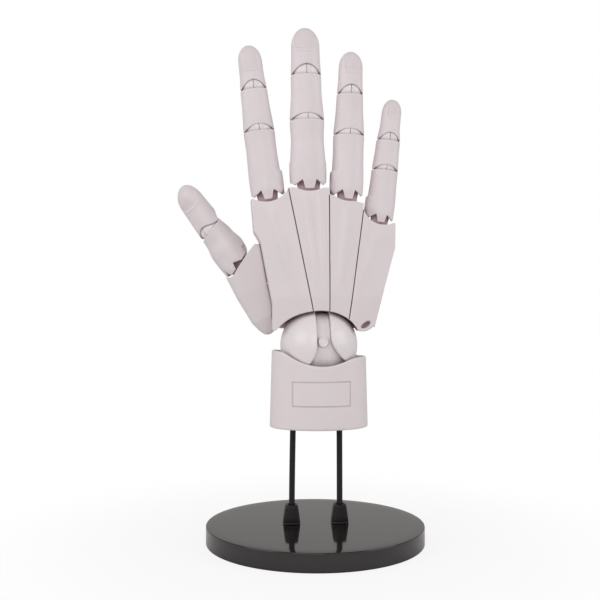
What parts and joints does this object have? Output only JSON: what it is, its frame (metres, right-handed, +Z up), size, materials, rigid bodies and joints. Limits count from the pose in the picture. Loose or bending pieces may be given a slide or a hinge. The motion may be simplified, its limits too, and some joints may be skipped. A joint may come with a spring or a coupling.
{
  "type": "hand mannequin",
  "caption": "Life-like jointed display hand that poses at wrist, palm, thumb and fingers, upright on two rods and a round weighted base.",
  "frame": {"origin": "centre of the underside of the base disc", "axes": "+Z up towards the fingertips, -Y is the side the back of the hand faces, -X is the thumb side"},
  "size_m": [0.1013, 0.089, 0.2098],
  "materials": {
    "matte_white": "matte white moulded plastic with a faintly warm tint",
    "satin_white": "smoother satin white plastic of the balls and drums",
    "gloss_black": "polished black disc",
    "black_plastic": "satin black moulded sockets",
    "black_metal": "black coated wire rod",
    "pin_steel": "plain steel hinge pin, hidden inside",
    "screw_steel": "plain steel screw, seen only from below"
  },
  "bodies": {
    "stand": {"base_disc": "gloss_black", "rod_sockets": "black_plastic", "support_rods": "black_metal", "socket_screws": "screw_steel"},
    "cuff": {"cuff_shell": "matte_white", "cuff_core": "matte_white"},
    "wrist_core": {"wrist_ball": "matte_white", "wrist_pin": "satin_white"},
    "palm": {"wrist_lobes": "satin_white", "palm_frame": "matte_white", "cup_pins": "pin_steel", "thumb_link_pin": "pin_steel", "middle_knuckle_pin": "pin_steel"},
    "index_plate": {"index_metacarpal": "matte_white", "index_knuckle_pin": "pin_steel"},
    "ring_plate": {"ring_metacarpal": "matte_white", "ring_knuckle_pin": "pin_steel"},
    "little_plate": {"little_metacarpal": "matte_white", "little_knuckle_pin": "pin_steel"},
    "thumb_saddle": {"thumb_link": "matte_white", "thumb_root_pin": "pin_steel"},
    "thumb_palm": {"thumb_metacarpal": "matte_white", "thumb_knuckle_pin": "pin_steel"},
    "index_ball": {"index_knuckle": "satin_white"},
    "index_first": {"index_proximal": "matte_white", "index_middle_joint_drum": "satin_white", "index_middle_joint_pin": "pin_steel"},
    "index_second": {"index_middle": "matte_white", "index_end_joint_drum": "satin_white", "index_end_joint_pin": "pin_steel"},
    "index_tip": {"index_distal": "matte_white"},
    "middle_ball": {"middle_knuckle": "satin_white"},
    "middle_first": {"middle_proximal": "matte_white", "middle_middle_joint_drum": "satin_white", "middle_middle_joint_pin": "pin_steel"},
    "middle_second": {"middle_middle": "matte_white", "middle_end_joint_drum": "satin_white", "middle_end_joint_pin": "pin_steel"},
    "middle_tip": {"middle_distal": "matte_white"},
    "ring_ball": {"ring_knuckle": "satin_white"},
    "ring_first": {"ring_proximal": "matte_white", "ring_middle_joint_drum": "satin_white", "ring_middle_joint_pin": "pin_steel"},
    "ring_second": {"ring_middle": "matte_white", "ring_end_joint_drum": "satin_white", "ring_end_joint_pin": "pin_steel"},
    "ring_tip": {"ring_distal": "matte_white"},
    "little_ball": {"little_knuckle": "satin_white"},
    "little_first": {"little_proximal": "matte_white", "little_middle_joint_drum": "satin_white", "little_middle_joint_pin": "pin_steel"},
    "little_second": {"little_middle": "matte_white", "little_end_joint_drum": "satin_white", "little_end_joint_pin": "pin_steel"},
    "little_tip": {"little_distal": "matte_white"},
    "thumb_ball": {"thumb_knuckle": "satin_white"},
    "thumb_first": {"thumb_proximal": "matte_white", "thumb_end_joint_drum": "satin_white", "thumb_end_joint_pin": "pin_steel"},
    "thumb_tip": {"thumb_distal": "matte_white"}
  },
  "joints": [
    {"name": "hand_lift", "type": "slide", "parent": "stand", "child": "cuff", "axis": [0, 0, 1], "range_m": [0, 0.02]},
    {"name": "wrist_swing", "type": "hinge", "parent": "cuff", "child": "wrist_core", "pos_m": [0.0015, 0, 0.0802], "axis": [0, 1, 0], "range_deg": [-15, 15]},
    {"name": "wrist_flex", "type": "hinge", "parent": "wrist_core", "child": "palm", "pos_m": [0.0015, 0, 0.0802], "axis": [-1, 0, 0], "range_deg": [-28, 40]},
    {"name": "index_cup", "type": "hinge", "parent": "palm", "child": "index_plate", "pos_m": [-0.0046, 0.0005, 0.1085], "axis": [-0.9806, 0, -0.1961], "range_deg": [0, 8]},
    {"name": "ring_cup", "type": "hinge", "parent": "palm", "child": "ring_plate", "pos_m": [0.0048, 0.0005, 0.1085], "axis": [-1, 0, 0], "range_deg": [0, 8]},
    {"name": "little_cup", "type": "hinge", "parent": "ring_plate", "child": "little_plate", "pos_m": [0.01509, 0.0005, 0.1085], "axis": [-0.9907, 0, 0.1362], "range_deg": [0, 8]},
    {"name": "thumb_spread", "type": "hinge", "parent": "palm", "child": "thumb_saddle", "pos_m": [-0.013, 0.0072, 0.092], "axis": [0, 1, 0], "range_deg": [-15, 0]},
    {"name": "thumb_fold", "type": "hinge", "parent": "thumb_saddle", "child": "thumb_palm", "pos_m": [-0.021, 0.0072, 0.091], "axis": [0, 0, 1], "range_deg": [-36, 0]},
    {"name": "index_swing", "type": "hinge", "parent": "index_plate", "child": "index_ball", "pos_m": [-0.0205, 0, 0.1477], "axis": [0, 1, 0], "range_deg": [-8, 8]},
    {"name": "index_bend", "type": "hinge", "parent": "index_ball", "child": "index_first", "pos_m": [-0.0205, 0, 0.1477], "axis": [-0.9919, 0, -0.1271], "range_deg": [-8, 70]},
    {"name": "index_middle_bend", "type": "hinge", "parent": "index_first", "child": "index_second", "pos_m": [-0.02317, 0, 0.16853], "axis": [-0.9919, 0, -0.1271], "range_deg": [0, 90]},
    {"name": "index_tip_bend", "type": "hinge", "parent": "index_second", "child": "index_tip", "pos_m": [-0.02534, 0, 0.18549], "axis": [-0.9919, 0, -0.1271], "range_deg": [0, 55]},
    {"name": "middle_swing", "type": "hinge", "parent": "palm", "child": "middle_ball", "pos_m": [-0.0031, -0.0014, 0.152], "axis": [0, 1, 0], "range_deg": [-8, 8]},
    {"name": "middle_bend", "type": "hinge", "parent": "middle_ball", "child": "middle_first", "pos_m": [-0.0031, -0.0014, 0.152], "axis": [-0.9997, 0, -0.0227], "range_deg": [-8, 70]},
    {"name": "middle_middle_bend", "type": "hinge", "parent": "middle_first", "child": "middle_second", "pos_m": [-0.00358, -0.0014, 0.17309], "axis": [-0.9997, 0, -0.0227], "range_deg": [0, 90]},
    {"name": "middle_tip_bend", "type": "hinge", "parent": "middle_second", "child": "middle_tip", "pos_m": [-0.004, -0.0014, 0.19149], "axis": [-0.9997, 0, -0.0227], "range_deg": [0, 55]},
    {"name": "ring_swing", "type": "hinge", "parent": "ring_plate", "child": "ring_ball", "pos_m": [0.0132, -0.0008, 0.1481], "axis": [0, 1, 0], "range_deg": [-8, 8]},
    {"name": "ring_bend", "type": "hinge", "parent": "ring_ball", "child": "ring_first", "pos_m": [0.0132, -0.0008, 0.1481], "axis": [-0.9996, 0, 0.0297], "range_deg": [-8, 70]},
    {"name": "ring_middle_bend", "type": "hinge", "parent": "ring_first", "child": "ring_second", "pos_m": [0.01377, -0.0008, 0.16739], "axis": [-0.9996, 0, 0.0297], "range_deg": [0, 90]},
    {"name": "ring_tip_bend", "type": "hinge", "parent": "ring_second", "child": "ring_tip", "pos_m": [0.01427, -0.0008, 0.18418], "axis": [-0.9996, 0, 0.0297], "range_deg": [0, 55]},
    {"name": "little_swing", "type": "hinge", "parent": "little_plate", "child": "little_ball", "pos_m": [0.0273, 0.0008, 0.1379], "axis": [0, 1, 0], "range_deg": [-8, 8]},
    {"name": "little_bend", "type": "hinge", "parent": "little_ball", "child": "little_first", "pos_m": [0.0273, 0.0008, 0.1379], "axis": [-0.993, 0, 0.1184], "range_deg": [-8, 70]},
    {"name": "little_middle_bend", "type": "hinge", "parent": "little_first", "child": "little_second", "pos_m": [0.02915, 0.0008, 0.15339], "axis": [-0.993, 0, 0.1184], "range_deg": [0, 90]},
    {"name": "little_tip_bend", "type": "hinge", "parent": "little_second", "child": "little_tip", "pos_m": [0.03062, 0.0008, 0.1657], "axis": [-0.993, 0, 0.1184], "range_deg": [0, 55]},
    {"name": "thumb_swing", "type": "hinge", "parent": "thumb_palm", "child": "thumb_ball", "pos_m": [-0.0346, 0.0074, 0.118], "axis": [0.5647, 0.7071, 0.4255], "range_deg": [-8, 8]},
    {"name": "thumb_bend", "type": "hinge", "parent": "thumb_ball", "child": "thumb_first", "pos_m": [-0.0346, 0.0074, 0.118], "axis": [0.5647, -0.7071, 0.4255], "range_deg": [-50, 0]},
    {"name": "thumb_tip_bend", "type": "hinge", "parent": "thumb_first", "child": "thumb_tip", "pos_m": [-0.04218, 0.0074, 0.12806], "axis": [0.5647, -0.7071, 0.4255], "range_deg": [-60, 0]}
  ]
}
